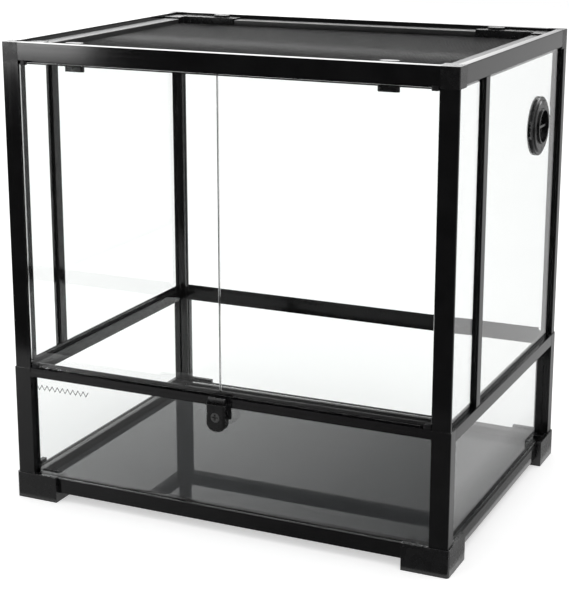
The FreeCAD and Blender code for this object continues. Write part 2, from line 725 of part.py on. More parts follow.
def make_upper_posts():
    """Front pair with a flange before the side pane, back pair with a groove for each pane."""
    rise = "%s - mid_height" % CORNER_SEAT
    post = new_body("upper_post_front_left")
    sketch = new_sketch(post, "XY_Plane", "mid_height")
    flange = "upper_inset + upper_flange"
    outline = (("upper_inset", "upper_inset"), (LOWER_INNER_U, "upper_inset"),
               (LOWER_INNER_U, LOWER_INNER_V), (UPPER_GLASS_BACK, LOWER_INNER_V),
               (UPPER_GLASS_BACK, flange), ("upper_inset", flange))
    polygon(sketch, [(left(u), front(v)) for u, v in outline])
    u0, v0, u1, v1 = front_post_chamber("0")
    rectangle(sketch, left(u0), front(v0), left(u1), front(v1))
    pad(post, sketch, rise)
    round_outer_edge(post, "upper_inset", front)
    both_sides(post, "upper_post_front")

    rear = new_body("upper_post_back_left")
    sketch = new_sketch(rear, "XY_Plane", "mid_height")
    far_u = "(upper_inset + back_post_width)"
    far_v = "(upper_inset + back_post_depth)"
    groove_u = "(%s - back_groove)" % far_u
    groove_v = "(%s - back_groove)" % far_v
    outline = (("upper_inset", "upper_inset"), (far_u, "upper_inset"), (far_u, UPPER_GROOVE_A),
               (groove_u, UPPER_GROOVE_A), (groove_u, UPPER_GROOVE_B), (far_u, UPPER_GROOVE_B),
               (far_u, far_v), (UPPER_GROOVE_B, far_v), (UPPER_GROOVE_B, groove_v),
               (UPPER_GROOVE_A, groove_v), (UPPER_GROOVE_A, far_v), ("upper_inset", far_v))
    polygon(sketch, [(left(u), back(v)) for u, v in outline])
    u0, v0, u1, v1 = back_post_chamber("0")
    rectangle(sketch, left(u0), back(v0), left(u1), back(v1))
    pad(rear, sketch, rise)
    round_outer_edge(rear, "upper_inset", back)
    both_sides(rear, "upper_post_back")


def make_top_corners():
    """Three-way connectors whose outer block shows between the top rails."""
    rail_a = "upper_inset + wall + fit"
    rail_b = "%s - wall - fit" % LIP_B
    rail_end = "%s + plug_length" % CORNER_INNER
    plug_low = "%s + wall + fit" % RAIL_BOX
    plug_top = "height - wall - fit"
    for end, place, chamber in (("front", front, front_post_chamber("fit")),
                                ("back", back, back_post_chamber("fit"))):
        corner = new_body("top_corner_%s_left" % end)

        def plan(level, u0, v0, u1, v1):
            sketch = new_sketch(corner, "XY_Plane", level)
            rectangle(sketch, left(u0), place(v0), left(u1), place(v1))
            return sketch

        pad(corner, plan(CORNER_SEAT, "upper_inset", "upper_inset", CORNER_INNER, CORNER_INNER),
            "%s - %s" % (LID_SEAT, CORNER_SEAT))
        angle = new_sketch(corner, "XY_Plane", LID_SEAT)
        outline = (("upper_inset", "upper_inset"), (CORNER_INNER, "upper_inset"),
                   (CORNER_INNER, LIP_B), (LIP_B, LIP_B), (LIP_B, CORNER_INNER),
                   ("upper_inset", CORNER_INNER))
        polygon(angle, [(left(u), place(v)) for u, v in outline])
        pad(corner, angle, "height - %s" % LID_SEAT)
        pane_start = "upper_inset + back_post_depth - back_groove"
        long_plug_low = plug_low
        if end == "front":
            pane_start = "upper_inset + upper_flange"
            long_plug_low = "%s + bush_length + fit" % RAIL_BOX
        slot = plan(CORNER_SEAT, UPPER_GROOVE_A, pane_start, UPPER_GROOVE_B, CORNER_INNER)
        if end == "back":
            across = "upper_inset + back_post_width - back_groove"
            rectangle(slot, left(across), place(UPPER_GROOVE_A), left(CORNER_INNER), place(UPPER_GROOVE_B))
        pocket(corner, slot, "corner_height - top_rail_height", True)
        pad(corner, plan(CORNER_SEAT, *chamber), "plug_length", backwards=True)
        pad(corner, plan(long_plug_low, CORNER_INNER, rail_a, rail_end, rail_b),
            "%s - (%s)" % (plug_top, long_plug_low))
        pad(corner, plan(plug_low, rail_a, CORNER_INNER, rail_b, rail_end),
            "%s - (%s)" % (plug_top, plug_low))
        outer = number(place("upper_inset"))
        round_edges(corner, "corner_round", lambda box: upright(box) and near(box.XMin, left("upper_inset"))
                    and abs(box.YMin - outer) < 1e-4)
        both_sides(corner, "top_corner_" + end)


def top_rail_section(body, role, place):
    """Box with a lip below, behind the upper pane, and a ledge inside for the lid."""
    sketch = new_sketch(body, role)
    ledge_tip = "%s + lid_ledge_width" % LIP_B
    under = "%s - lid_ledge" % LID_SEAT
    foot = "%s - top_lip" % RAIL_BOX
    outline = (("upper_inset", "height"), ("upper_inset", RAIL_BOX), (LIP_A, RAIL_BOX), (LIP_A, foot),
               (LIP_B, foot), (LIP_B, under), (ledge_tip, under), (ledge_tip, LID_SEAT),
               (LIP_B, LID_SEAT), (LIP_B, "height"))
    polygon(sketch, [(place(u), z) for u, z in outline])
    rectangle(sketch, place("upper_inset + wall"), RAIL_BOX + " + wall",
              place(LIP_B + " - wall"), "height - wall")
    return sketch


def make_top_rails():
    span_x = "width - 2 * %s" % CORNER_INNER
    blank = new_body("top_rail_front_section")
    pad(blank, top_rail_section(blank, "YZ_Plane", front), span_x, symmetric=True)
    tools = pivot_holes(RAIL_BOX, "%s + wall" % RAIL_BOX)
    sub_part(cut("top_rail_front", blank, tools), "top_rail_front")
    rear = new_body("top_rail_back")
    pad(rear, top_rail_section(rear, "YZ_Plane", back), span_x, symmetric=True)
    sub_part(rear, "top_rail_back")
    side = new_body("top_rail_left")
    pad(side, top_rail_section(side, "XZ_Plane", left), "depth - 2 * %s" % CORNER_INNER, symmetric=True)
    both_sides(side, "top_rail")


def make_mullions():
    """H section between the two side panes, its inner flange cut short of the lips."""
    mullion = new_body("side_mullion_left", y=front("mullion_place"))
    half = "mullion_width / 2"
    web = "mullion_web / 2"
    sketch = new_sketch(mullion, "XY_Plane", "mid_height")
    outline = (("upper_inset", "-" + half), (UPPER_GROOVE_A, "-" + half), (UPPER_GROOVE_A, "-" + web),
               (UPPER_GROOVE_B, "-" + web), (UPPER_GROOVE_B, web), (UPPER_GROOVE_A, web),
               (UPPER_GROOVE_A, half), ("upper_inset", half))
    polygon(sketch, [(left(u), y) for u, y in outline])
    pad(mullion, sketch, "%s - mid_height" % RAIL_BOX)
    low = "mid_height + mid_lip + glass_fit"
    high = "%s - top_lip - glass_fit" % RAIL_BOX
    inner = new_sketch(mullion, "XY_Plane", low)
    rectangle(inner, left(UPPER_GROOVE_B), "-" + half, left(UPPER_GROOVE_B + " + mullion_inner"), half)
    pad(mullion, inner, "%s - (%s)" % (high, low))
    both_sides(mullion, "side_mullion")


def make_upper_panes():
    low = "mid_height + glass_fit"
    high = "%s - glass_fit" % RAIL_BOX
    start = "(upper_inset + upper_flange + glass_fit)"
    before = front("(mullion_place - mullion_web / 2 - glass_fit)")
    behind = front("(mullion_place + mullion_web / 2 + glass_fit)")
    end_v = "(upper_inset + back_post_depth - back_groove + glass_fit)"
    end_u = "(upper_inset + back_post_width - back_groove + glass_fit)"
    sub_part(block("back_glass", (left(end_u), back(UPPER_GLASS_BACK), low),
                   (right(end_u), back("upper_glass_inset"), high)), "back_glass")
    fore = block("side_glass_front_left", (left("upper_glass_inset"), front(start), low),
                 (left(UPPER_GLASS_BACK), before, high))
    both_sides(fore, "side_glass_front")
    rear = block("side_glass_rear_left", (left("upper_glass_inset"), behind, low),
                 (left(UPPER_GLASS_BACK), back(end_v), high))
    sub_part(rear, "side_glass_rear_left")
    blank = mirrored(rear, "side_glass_rear_right_blank", ACROSS)
    hole = doc.addObject("Part::Cylinder", "port_hole")
    hole.Placement.Rotation = FreeCAD.Rotation(FreeCAD.Vector(0, 1, 0), 90)
    bind(hole, "Radius", "port_hole / 2")
    bind(hole, "Height", "glass + 2 * glass_fit")
    bind(hole, "Placement.Base.x", right(UPPER_GLASS_BACK) + " - glass_fit")
    bind(hole, "Placement.Base.y", "%s + %s" % (MIDDLE_Y, back("port_back")))
    bind(hole, "Placement.Base.z", PORT_AXIS)
    sub_part(cut("side_glass_rear_right", blank, [hole]), "side_glass_rear_right")


# Doors and lock


def make_doors():
    """Two glass leaves in pivot clips; the pins turn in bushes set in the rails."""
    low = "mid_height + door_gap"
    high = "%s - door_gap" % RAIL_BOX
    edge = left("(%s + door_side_gap)" % LOWER_INNER_U)
    leaf = block("door_left_glass", (edge, front("door_inset"), low),
                 ("-door_seam / 2", front("(door_inset + glass)"), high))
    sub_part(leaf, "door_left_glass")
    sub_part(mirrored(leaf, "door_right_glass", ACROSS), "door_right_glass")
    clips = []
    for end, seat in (("low", "mid_height + clip_gap"), ("high", "%s - clip_gap" % RAIL_BOX)):
        clip = new_body("pivot_clip_" + end, left(PIVOT_U), front(PIVOT_V), seat)
        sign = "" if end == "low" else "-"
        outline = new_sketch(clip, "XY_Plane")
        stadium(outline, "-clip_tail", "clip_reach", "0", "clip_thick")
        pad(clip, outline, "clip_height", backwards=end == "high")
        slot = new_sketch(clip, "XY_Plane", sign + "(door_gap - clip_gap - fit)")
        rectangle(slot, "-clip_tail", "-(glass / 2 + fit)", "clip_reach", "glass / 2 + fit")
        pocket(clip, slot, "clip_height", backwards=end == "low")
        pin = new_sketch(clip, "XY_Plane")
        circle(pin, "0", "0", "pin_diameter")
        pad(clip, pin, "pin_length", backwards=end == "low")
        clips.append(clip)
    group_of("door_left_pivots", clips)
    group_of("door_right_pivots", [mirrored(clip, clip.Name + "_right", ACROSS) for clip in clips])
    bushes = []
    bore = "pin_diameter + 2 * pin_play"
    for low, high in (("mid_height - bush_length", "mid_height"), (RAIL_BOX, "%s + bush_length" % RAIL_BOX)):
        spot = (left(PIVOT_U), front(PIVOT_V), low, high)
        rod = upright_rod("bush_rod", *spot, bore + " + 2 * bush_wall")
        bush = cut("hinge_bush", rod, [upright_rod("bush_bore", *spot, bore)])
        bushes += [bush, mirrored(bush, "hinge_bush_right", ACROSS)]
    group_of("hinge_bushes", bushes)


def make_lock():
    """Housing on the front middle rail, with a slider that rises before the doors and a cam lock."""
    face = "-lock_proud"
    rear = "lower_inset"
    half = "lock_width / 2"

    def elevation(body, inset):
        """A sketch upright across the front, at an inset from the front plane."""
        return new_sketch(body, "XZ_Plane", "-" + front(inset))

    housing = new_body("lock_housing")
    outline = elevation(housing, "(%s)" % face)
    rectangle(outline, "-" + half, LOCK_BOTTOM, half, LOCK_TOP)
    pad(housing, outline, "lock_proud + lower_inset", backwards=True)
    round_edges(housing, "lock_round", lambda box: box.XLength < 1e-4 and box.ZLength < 1e-4
                and near(box.ZMin, LOCK_BOTTOM))
    front_y = number(front("(%s)" % face))
    bevel_edges(housing, "lock_edge", lambda box: abs(box.YMin - front_y) < 1e-4
                and box.YLength < 1e-4 and box.ZMin < number(LOCK_TOP) - 1e-4)
    plate = elevation(housing, "(%s - lock_plate)" % rear)
    rectangle(plate, "-lock_plate_width / 2", "%s - lock_plate_height" % LOCK_TOP,
              "lock_plate_width / 2", LOCK_TOP)
    pad(housing, plate, "lock_plate", backwards=True)
    bay = new_sketch(housing, "XY_Plane", LOCK_TOP)
    bay_half = "(slider_width / 2 + slider_play)"
    bay_front = front("(%s + slider_front - slider_play)" % face)
    bay_back = front("(%s + slider_front + slider_thick + slider_play)" % face)
    rectangle(bay, "-" + bay_half, bay_front, bay_half, bay_back)
    pocket(housing, bay, "lock_height - slider_leg_rise + slider_play")
    bore = elevation(housing, "(%s)" % face)
    circle(bore, "0", CORE, "core_diameter + 2 * pin_play")
    pocket(housing, bore, "lock_proud + lower_inset")
    sub_part(housing, "lock_housing")

    slider = new_body("lock_slider")
    plate = elevation(slider, "(%s + slider_front)" % face)
    wide = "slider_width / 2"
    slot = "(core_diameter / 2 + slider_clear)"
    leg = "(%s + slider_leg_rise)" % LOCK_BOTTOM
    crotch = "%s + %s" % (CORE, slot)
    roll_axis = "(%s + roll_gap + roll_diameter / 2)" % LOCK_TOP
    outline = (("-" + wide, leg), ("-" + slot, leg), ("-" + slot, crotch), (slot, crotch),
               (slot, leg), (wide, leg), (wide, roll_axis), ("-" + wide, roll_axis))
    polygon(plate, outline)
    pad(slider, plate, "slider_thick", backwards=True)
    roll = new_sketch(slider, "YZ_Plane")
    circle(roll, front("(%s + slider_front + slider_thick / 2)" % face), roll_axis, "roll_diameter")
    pad(slider, roll, "roll_length", symmetric=True)
    sub_part(slider, "lock_slider")

    core = new_body("lock_cylinder")
    barrel = elevation(core, "(%s + core_recess)" % face)
    circle(barrel, "0", CORE, "core_diameter")
    pad(core, barrel, "lock_proud + lower_inset + core_tail - core_recess", backwards=True)
    cam = elevation(core, "(%s + core_tail)" % rear)
    rectangle(cam, "-cam_width / 2", "%s - cam_length" % CORE, "cam_width / 2", "%s + cam_width / 2" % CORE)
    pad(core, cam, "cam_thick", backwards=True)
    for across, along in (("key_slot", "key_slot_length"), ("key_slot_length", "key_slot")):
        key = elevation(core, "(%s + core_recess)" % face)
        rectangle(key, "-%s / 2" % across, "%s - %s / 2" % (CORE, along),
                  "%s / 2" % across, "%s + %s / 2" % (CORE, along))
        pocket(core, key, "key_slot_depth")
    sub_part(core, "lock_cylinder")


# Cable port


def make_port():
    """Two screwed rings clamp the pane and hold a turning shutter; X runs along the port's axis."""
    pane = right("(upper_glass_inset + glass / 2)")
    spot = (pane, back("port_back"), PORT_AXIS)
    flange = "(glass / 2 + port_outer)"
    face = "(glass / 2 + port_outer + port_step_height)"
    spigot = "(port_hole / 2 - fit)"
    outer = new_body("port_outer_ring", *spot)
    profile = new_sketch(outer, "XY_Plane")
    seat = "(port_spigot_gap + port_seat_depth)"
    polygon(profile, [("port_spigot_gap", "port_seat / 2"), (seat, "port_seat / 2"), (seat, "port_bore / 2"),
                      (face, "port_bore / 2"), (face, "port_step / 2"), (flange, "port_step / 2"),
                      (flange, "port_flange / 2"), ("glass / 2", "port_flange / 2"), ("glass / 2", spigot),
                      ("port_spigot_gap", spigot)])
    revolve(outer, profile, "X_Axis")
    bevel_edges(outer, "port_edge", lambda box: near(box.XMin, face) and near(box.YMax, "port_step / 2")
                or near(box.XMin, flange) and near(box.YMax, "port_flange / 2"))
    ear = new_sketch(outer, "YZ_Plane", "glass / 2")
    polygon(ear, [("port_step / 2", "-ear_root / 2"), ("ear_reach", "-ear_tip / 2"),
                  ("ear_reach", "ear_tip / 2"), ("port_step / 2", "ear_root / 2")])
    polar(outer, pad(outer, ear, "port_outer - port_edge"), "X_Axis", "ear_count")
    head = new_sketch(outer, "YZ_Plane", face)
    circle(head, "screw_circle / 2", "0", "screw_head + 2 * screw_play")
    polar(outer, pocket(outer, head, "screw_head_height"), "X_Axis", "screw_count")
    shank = new_sketch(outer, "YZ_Plane", face)
    circle(shank, "screw_circle / 2", "0", "screw_diameter + 2 * screw_play")
    polar(outer, pocket(outer, shank, face), "X_Axis", "screw_count")
    sub_part(outer, "port_outer_ring")

    inner = new_body("port_inner_ring", *spot)
    profile = new_sketch(inner, "XY_Plane")
    back_face = "-(glass / 2 + port_inner)"
    polygon(profile, [("-port_spigot_gap", "port_bore / 2"), ("-port_spigot_gap", spigot),
                      ("-glass / 2", spigot), ("-glass / 2", "port_flange / 2"),
                      (back_face, "port_flange / 2"), (back_face, "port_bore / 2")])
    revolve(inner, profile, "X_Axis")
    hole = new_sketch(inner, "YZ_Plane", back_face)
    circle(hole, "screw_circle / 2", "0", "screw_diameter + 2 * screw_play")
    polar(inner, pocket(inner, hole, "glass + port_inner", backwards=True), "X_Axis", "screw_count")
    guard = new_sketch(inner, "YZ_Plane", back_face)
    half_disc(guard, "port_bore / 2", "-shutter_slit")
    pad(inner, guard, "port_guard")
    sub_part(inner, "port_inner_ring")

    shutter = new_body("port_shutter", *spot)
    profile = new_sketch(shutter, "XY_Plane")
    low = "(port_spigot_gap + shutter_play)"
    rim_top = "(port_spigot_gap + port_seat_depth - shutter_play)"
    lip = "(%s + shutter_proud)" % face
    cup = "(port_bore / 2 - shutter_play)"
    well = "(port_bore / 2 - shutter_play - shutter_wall)"
    floor = "(%s + shutter_floor)" % low
    rim = "port_seat / 2 - shutter_play"
    polygon(profile, [(low, "0"), (low, rim), (rim_top, rim), (rim_top, cup), (lip, cup), (lip, well),
                      (floor, well), (floor, "0")])
    revolve(shutter, profile, "X_Axis")
    window = new_sketch(shutter, "YZ_Plane", low)
    half_disc(window, well + " - shutter_wall", "-shutter_slit")
    pocket(shutter, window, "shutter_floor", backwards=True)
    bar = new_sketch(shutter, "YZ_Plane", floor)
    reach = "(%s + shutter_wall / 2)" % well
    rectangle(bar, "-" + reach, "-shutter_bar / 2", reach, "shutter_bar / 2")
    pad(shutter, bar, "shutter_bar_height")
    sub_part(shutter, "port_shutter")

    screw = new_body("port_screw", *spot)
    body = new_sketch(screw, "YZ_Plane", back_face)
    circle(body, "screw_circle / 2", "0", "screw_diameter")
    pad(screw, body, "%s - (%s) - screw_head_height" % (face, back_face))
    cap = new_sketch(screw, "YZ_Plane", face)
    circle(cap, "screw_circle / 2", "0", "screw_head")
    pad(screw, cap, "screw_head_height", backwards=True)
    ring = doc.addObject("Part::Feature", "port_screws")
    doc.recompute()
    axis = FreeCAD.Vector(*(number(place) for place in spot)) + FreeCAD.Vector(0, number(MIDDLE_Y), 0)
    count = int(number("screw_count"))
    turns = []
    for index in range(count):
        copy = screw.Shape.copy()
        copy.rotate(axis, FreeCAD.Vector(1, 0, 0), 360 * index / count)
        turns.append(copy)
    ring.Shape = Part.makeCompound(turns)
    sub_part(ring, "port_screws")


def half_disc(sketch, radius, level):
    """The part of a disc below a level line."""
    size = number(radius)
    height = number(level)
    reach = math.sqrt(size * size - height * height)
    start = math.atan2(height, -reach)
    end = math.atan2(height, reach)
    disc = Part.Circle(FreeCAD.Vector(0, 0, 0), FreeCAD.Vector(0, 0, 1), size)
    arc = sketch.addGeometry(Part.ArcOfCircle(disc, start, end), False)
    line = Part.LineSegment(FreeCAD.Vector(reach, height, 0), FreeCAD.Vector(-reach, height, 0))
    chord = sketch.addGeometry(line, False)
    sketch.addConstraint(Sketcher.Constraint("Coincident", arc, 2, chord, 1))
    sketch.addConstraint(Sketcher.Constraint("Coincident", chord, 2, arc, 1))
    sketch.addConstraint(Sketcher.Constraint("Coincident", arc, 3, -1, 1))
    sketch.addConstraint(Sketcher.Constraint("Horizontal", chord))
    drive(sketch, "Radius", (arc,), radius)
    drive(sketch, "DistanceY", (-1, 1, chord, 1), level)


# Lid


def make_lid():
    """Hollow rails on plug-in corners, round a sheet of mesh."""
    low = LID_SEAT
    long_end = "(%s + lid_corner_length)" % LID_EDGE
    side_end = "(%s + lid_corner_side)" % LID_EDGE
    groove_low = "(%s + mesh_rise - fit)" % low
    groove_high = "(%s + mesh_rise + mesh_thick + fit)" % low
    groove_in = "(%s - mesh_groove)" % LID_INNER
    rail_top = "%s + lid_rail_height" % low
    chamber = (LID_EDGE + " + wall", low + " + wall", groove_in + " - wall", rail_top + " - wall")

    def rail(name, role, place, span):
        body = new_body(name)
        sketch = new_sketch(body, role)
        outline = ((LID_EDGE, low), (LID_INNER, low), (LID_INNER, groove_low), (groove_in, groove_low),
                   (groove_in, groove_high), (LID_INNER, groove_high), (LID_INNER, rail_top),
                   (LID_EDGE, rail_top))
        polygon(sketch, [(place(u), z) for u, z in outline])
        a0, z0, a1, z1 = chamber
        rectangle(sketch, place(a0), z0, place(a1), z1)
        pad(body, sketch, span, symmetric=True)
        return body

    span_x = "width - 2 * %s" % long_end
    span_y = "depth - 2 * %s" % side_end
    rails = [rail("lid_rail_front", "YZ_Plane", front, span_x),
             rail("lid_rail_left", "XZ_Plane", left, span_y)]
    rails += [mirrored(rails[0], "lid_rail_back", ALONG), mirrored(rails[1], "lid_rail_right", ACROSS)]
    group_of("lid_rails", rails)

    blank = new_body("lid_corner_blank")
    outline = ((LID_EDGE, LID_EDGE), (long_end, LID_EDGE), (long_end, LID_INNER), (LID_INNER, LID_INNER),
               (LID_INNER, side_end), (LID_EDGE, side_end))
    shape = new_sketch(blank, "XY_Plane", low)
    polygon(shape, [(left(u), front(v)) for u, v in outline])
    pad(blank, shape, "lid_corner_height")
    a0, z0, a1, z1 = chamber
    rise = "%s - (%s) - 2 * fit" % (z1, z0)
    for plug in ((long_end, a0 + " + fit", long_end + " + lid_plug", a1 + " - fit"),
                 (a0 + " + fit", side_end, a1 + " - fit", side_end + " + lid_plug")):
        sketch = new_sketch(blank, "XY_Plane", z0 + " + fit")
        rectangle(sketch, left(plug[0]), front(plug[1]), left(plug[2]), front(plug[3]))
        pad(blank, sketch, rise)
    stem = new_sketch(blank, "XY_Plane", LID_CORNER_TOP)
    circle(stem, left("latch_side"), front(LATCH_V), "latch_stem + 2 * pin_play")
    pocket(blank, stem, "lid_corner_height")
    mesh_room = block("mesh_room", (left(groove_in), front(groove_in), groove_low),
                      (right(groove_in), back(groove_in), groove_high))
    corner = cut("lid_corner", blank, [mesh_room])
    opposite = mirrored(corner, "lid_corner_right", ACROSS)
    corners = [corner, opposite, mirrored(corner, "lid_corner_back_left", ALONG),
               mirrored(opposite, "lid_corner_back_right", ALONG)]
    group_of("lid_corners", corners)
    make_mesh("(%s + fit)" % groove_in, "%s + mesh_rise" % low)


def make_mesh(inset, level):
    """One sheet with a grid of square gaps."""
    x_edge = number("width / 2 - %s" % inset)
    y_edge = number("depth / 2 - %s" % inset)
    wire = number("mesh_wire")
    columns = int(number("mesh_columns"))
    rows = int(number("mesh_rows"))
    clear_x = number("width / 2 - %s" % LID_INNER)
    clear_y = number("depth / 2 - %s" % LID_INNER)
    pitch_x = (2 * clear_x + wire) / columns
    pitch_y = (2 * clear_y + wire) / rows

    def outline(x, y, length, width):
        face = Part.makePlane(length, width, FreeCAD.Vector(x, y, 0))
        return face.OuterWire

    gaps = [outline(-clear_x + column * pitch_x, -clear_y + row * pitch_y, pitch_x - wire, pitch_y - wire)
            for column in range(columns) for row in range(rows)]
    for gap in gaps:
        gap.reverse()
    sheet_face = Part.Face([outline(-x_edge, -y_edge, 2 * x_edge, 2 * y_edge)] + gaps)
    mesh = doc.addObject("Part::Feature", "lid_mesh")
    mesh.Shape = sheet_face.extrude(FreeCAD.Vector(0, 0, number("mesh_thick")))
    mesh.Placement.Base = FreeCAD.Vector(0, number(MIDDLE_Y), number(level))
    sub_part(mesh, "lid_mesh")


def make_latches():
    """Quarter-turn latches: an oval knob on the lid, a stem and a tab that turns below the top rail."""
    half = "(lid_rail_width / 2 - latch_margin)"
    reach = "(%s - %s + tab_catch)" % (LATCH_V, LIP_B)
    latch = new_body("lid_latch_front_left", left("latch_side"), front(LATCH_V))
    knob = new_sketch(latch, "XY_Plane", LID_CORNER_TOP)
    stadium(knob, "-" + half, half, "0", "knob_width")
    pad(latch, knob, "height - %s" % LID_CORNER_TOP)
    tab_top = "(%s - top_lip - tab_gap)" % RAIL_BOX
    stem = new_sketch(latch, "XY_Plane", tab_top)
    circle(stem, "0", "0", "latch_stem")
    pad(latch, stem, "%s - %s" % (LID_CORNER_TOP, tab_top))
    tab = new_sketch(latch, "XY_Plane", tab_top)
    stadium(tab, "-" + reach, reach, "0", "tab_width")
    pad(latch, tab, "tab_height", backwards=True)
    four_corners(latch, "lid_latch")


make_feet()
make_bottom_rails()
make_lower_posts()
make_floor_and_lower_panes()
make_mid_rails()
make_mid_joints()
make_upper_posts()
make_top_corners()
make_top_rails()
make_mullions()
make_upper_panes()
make_doors()
make_lock()
make_port()
make_lid()
make_latches()
doc.recompute()

# Every object has to be sound before anything is written

for item in doc.Objects:
    if "Invalid" in item.State or "Error" in item.State:
        raise RuntimeError("%s failed to build" % item.Label)
for item in parts:
    if item.Shape.isNull() or not item.Shape.isValid():
        raise RuntimeError("%s has no sound shape" % item.Label)

os.makedirs("parts", exist_ok=True)
for item in parts:
    item.Shape.exportStep("parts/%s.step" % item.Label)
    print("%-24s %d solids %12.1f mm3" % (item.Label, len(item.Shape.Solids), item.Shape.Volume))
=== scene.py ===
"""Looks of the aluminium and glass terrarium, in metres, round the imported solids."""
import json
import math

import bpy
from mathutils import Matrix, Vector


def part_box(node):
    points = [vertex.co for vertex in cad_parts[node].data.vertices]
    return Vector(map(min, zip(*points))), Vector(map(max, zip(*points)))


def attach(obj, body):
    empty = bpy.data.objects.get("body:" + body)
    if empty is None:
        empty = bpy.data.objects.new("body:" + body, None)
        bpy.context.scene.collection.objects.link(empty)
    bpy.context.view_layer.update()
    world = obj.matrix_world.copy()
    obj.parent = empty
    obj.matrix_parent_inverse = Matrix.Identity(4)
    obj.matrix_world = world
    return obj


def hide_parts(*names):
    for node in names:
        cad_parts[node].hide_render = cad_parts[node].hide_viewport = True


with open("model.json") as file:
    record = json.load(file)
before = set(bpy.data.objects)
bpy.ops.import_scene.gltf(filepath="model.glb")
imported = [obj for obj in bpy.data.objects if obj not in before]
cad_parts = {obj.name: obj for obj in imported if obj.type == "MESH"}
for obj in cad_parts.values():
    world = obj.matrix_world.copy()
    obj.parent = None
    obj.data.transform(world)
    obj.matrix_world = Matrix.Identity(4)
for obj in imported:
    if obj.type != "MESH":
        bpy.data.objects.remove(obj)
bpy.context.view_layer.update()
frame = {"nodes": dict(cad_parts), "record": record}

MM = 0.001
NODES = frame["nodes"]
SLOTS = {part["node"]: part["material_slot"] for part in frame["record"]["subparts"]}

# Shader building

RANGE_SOCKETS = ("From Min", "From Max", "To Min", "To Max")
NOISE_LOW, NOISE_HIGH = 0.3, 0.7
TINT_LOW, TINT_HIGH = 0.35, 0.65
NOISE_DETAIL = 3.0


def new_material(name):
    material = bpy.data.materials.new(name)
    material.use_nodes = True
    return material, material.node_tree, material.node_tree.nodes["Principled BSDF"]


def set_shader(shader, **values):
    """Plain values on the shader's own sockets, by socket name with underscores."""
    for name, value in values.items():
        shader.inputs[name.replace("_", " ")].default_value = value


def pattern(tree, size, stretch=(1, 1, 1)):
    """Noise whose grains are about one size across, drawn out along an axis by the stretch."""
    place = tree.nodes.new("ShaderNodeTexCoord")
    mapping = tree.nodes.new("ShaderNodeMapping")
    mapping.inputs["Scale"].default_value = [1 / (size * long) for long in stretch]
    noise = tree.nodes.new("ShaderNodeTexNoise")
    noise.inputs["Scale"].default_value = 1
    noise.inputs["Detail"].default_value = NOISE_DETAIL
    tree.links.new(place.outputs["Object"], mapping.inputs["Vector"])
    tree.links.new(mapping.outputs["Vector"], noise.inputs["Vector"])
    return noise.outputs["Fac"]


def mapped(tree, source, limits):
    """A value mapped from one range to another, given as from low, from high, to low, to high."""
    span = tree.nodes.new("ShaderNodeMapRange")
    for name, value in zip(RANGE_SOCKETS, limits):
        span.inputs[name].default_value = value
    tree.links.new(source, span.inputs["Value"])
    return span.outputs["Result"]


def spread(tree, source, low, high):
    """The middle of a noise mapped to a range of values."""
    return mapped(tree, source, (NOISE_LOW, NOISE_HIGH, low, high))


def tint(tree, shader, source, colours):
    """A base colour that wanders between a dark and a light one."""
    ramp = tree.nodes.new("ShaderNodeValToRGB")
    for stop, place, colour in zip(ramp.color_ramp.elements, (TINT_LOW, TINT_HIGH), colours):
        stop.position = place
        stop.color = (*colour, 1)
    tree.links.new(source, ramp.inputs["Fac"])
    tree.links.new(ramp.outputs["Color"], shader.inputs["Base Color"])


def roughen(tree, shader, source, depth):
    bump = tree.nodes.new("ShaderNodeBump")
    bump.inputs["Strength"].default_value = 1
    bump.inputs["Distance"].default_value = depth
    tree.links.new(source, bump.inputs["Height"])
    tree.links.new(bump.outputs["Normal"], shader.inputs["Normal"])


# Materials: colours go from dark to light, sizes are those of the pattern's grains

EXTRUDED = {"x": (200, 1, 1), "y": (1, 200, 1), "z": (1, 1, 200)}
ANODISED_COLOURS = ((0.004, 0.004, 0.0042), (0.006, 0.006, 0.0063))
ANODISED_CLOUD = 30 * MM
DIE_LINE = 0.8 * MM
DIE_LINE_DEPTH = 0.0015 * MM
DIE_LINE_ROUGH = 0.03
FRAME_ROUGH, FRAME_IOR = 0.1, 1.5
LID_ROUGH, LID_IOR = 0.42, 1.8

PLASTIC_COLOURS = ((0.006, 0.006, 0.0063), (0.009, 0.009, 0.0094))
PLASTIC_ROUGH = 0.27
BUSH_COLOURS = ((0.55, 0.55, 0.53), (0.62, 0.62, 0.6))
BUSH_ROUGH = 0.45
PLASTIC_IOR = 1.5
MOULD_CLOUD = 12 * MM
MOULD_CLOUD_ROUGH = 0.05
MOULD_GRAIN = 0.5 * MM
MOULD_GRAIN_DEPTH = 0.0015 * MM

BLACKENED_COLOURS = ((0.02, 0.02, 0.021), (0.035, 0.035, 0.036))
PLATED_COLOURS = ((0.09, 0.09, 0.09), (0.15, 0.15, 0.15))
TURNED_GRAIN = 0.3 * MM
TURNED_ROUGH = (0.28, 0.4)
TURNED_METALLIC = 0.6

WIRE_COLOURS = ((0.024, 0.024, 0.024), (0.038, 0.038, 0.038))
WIRE_CLOUD = 4 * MM
WIRE_ROUGH = (0.3, 0.42)
WIRE_SPECULAR = 0.25

GLASS_COLOUR = (0.985, 0.995, 0.99, 1)
GLASS_SHADOW = (0.97, 0.98, 0.975, 1)
GLASS_IOR = 1.5

FLOOR_GLASS_COLOURS = ((0.042, 0.044, 0.047), (0.047, 0.049, 0.052))
FLOOR_GLASS_ROUGH = (0.002, 0.007)
FLOOR_GLASS_IOR = 1.6
WIPE_MARK = 60 * MM
WIPE_STRETCH = (3, 1, 1)

INK_COLOURS = ((0.004, 0.004, 0.004), (0.008, 0.008, 0.008))
INK_GRAIN = 1.5 * MM
INK_ROUGH = 0.5


